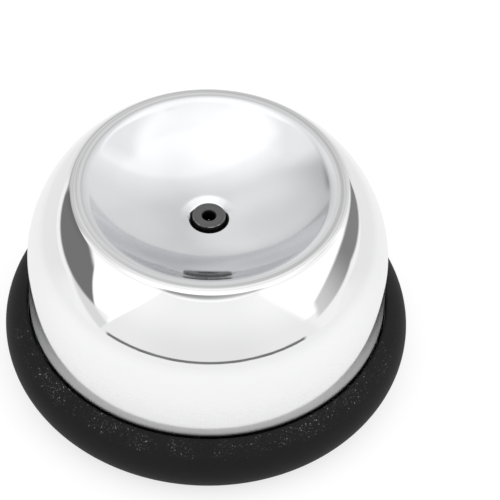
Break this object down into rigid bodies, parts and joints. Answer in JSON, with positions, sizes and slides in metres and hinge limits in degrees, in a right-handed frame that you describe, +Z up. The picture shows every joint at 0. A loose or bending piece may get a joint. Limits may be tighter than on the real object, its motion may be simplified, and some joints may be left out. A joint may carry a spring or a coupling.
{
  "type": "egg piercer",
  "caption": "Steel dome with an egg dish that is pressed down into a rubber-footed base against a spring, so that a fixed needle comes up through the bush in the dish.",
  "frame": {"origin": "centre of the rubber foot's sole, on the surface that the tool stands on", "axes": "+Z up along the axis of the dome, the needle and the press; X and Y are alike, and -Y faces the pictured front"},
  "size_m": [0.06, 0.06, 0.0339],
  "materials": {
    "polished_steel": "mirror-polished drawn stainless steel",
    "bush_plastic": "black, turned satin face",
    "spring_wire": "drawn spring wire",
    "needle_steel": "ground steel",
    "post_brass": "turned",
    "screw_steel": "zinc plated",
    "base_plastic": "black moulded plastic, fine texture",
    "foot_rubber": "black rubber, matte"
  },
  "bodies": {
    "base": {"foot_ring": "foot_rubber", "stop_collar": "base_plastic", "base_plate": "base_plastic", "post_screw": "screw_steel", "needle_post": "post_brass", "needle": "needle_steel", "return_spring": "spring_wire"},
    "dome": {"dome_shell": "polished_steel", "needle_bush": "bush_plastic"}
  },
  "joints": [
    {"name": "dome_press", "type": "slide", "parent": "base", "child": "dome", "axis": [0, 0, -1], "range_m": [0, 0.0045], "stiffness_N_per_m": 2500, "springref_m": -0.002, "deforming": ["return_spring"]}
  ]
}
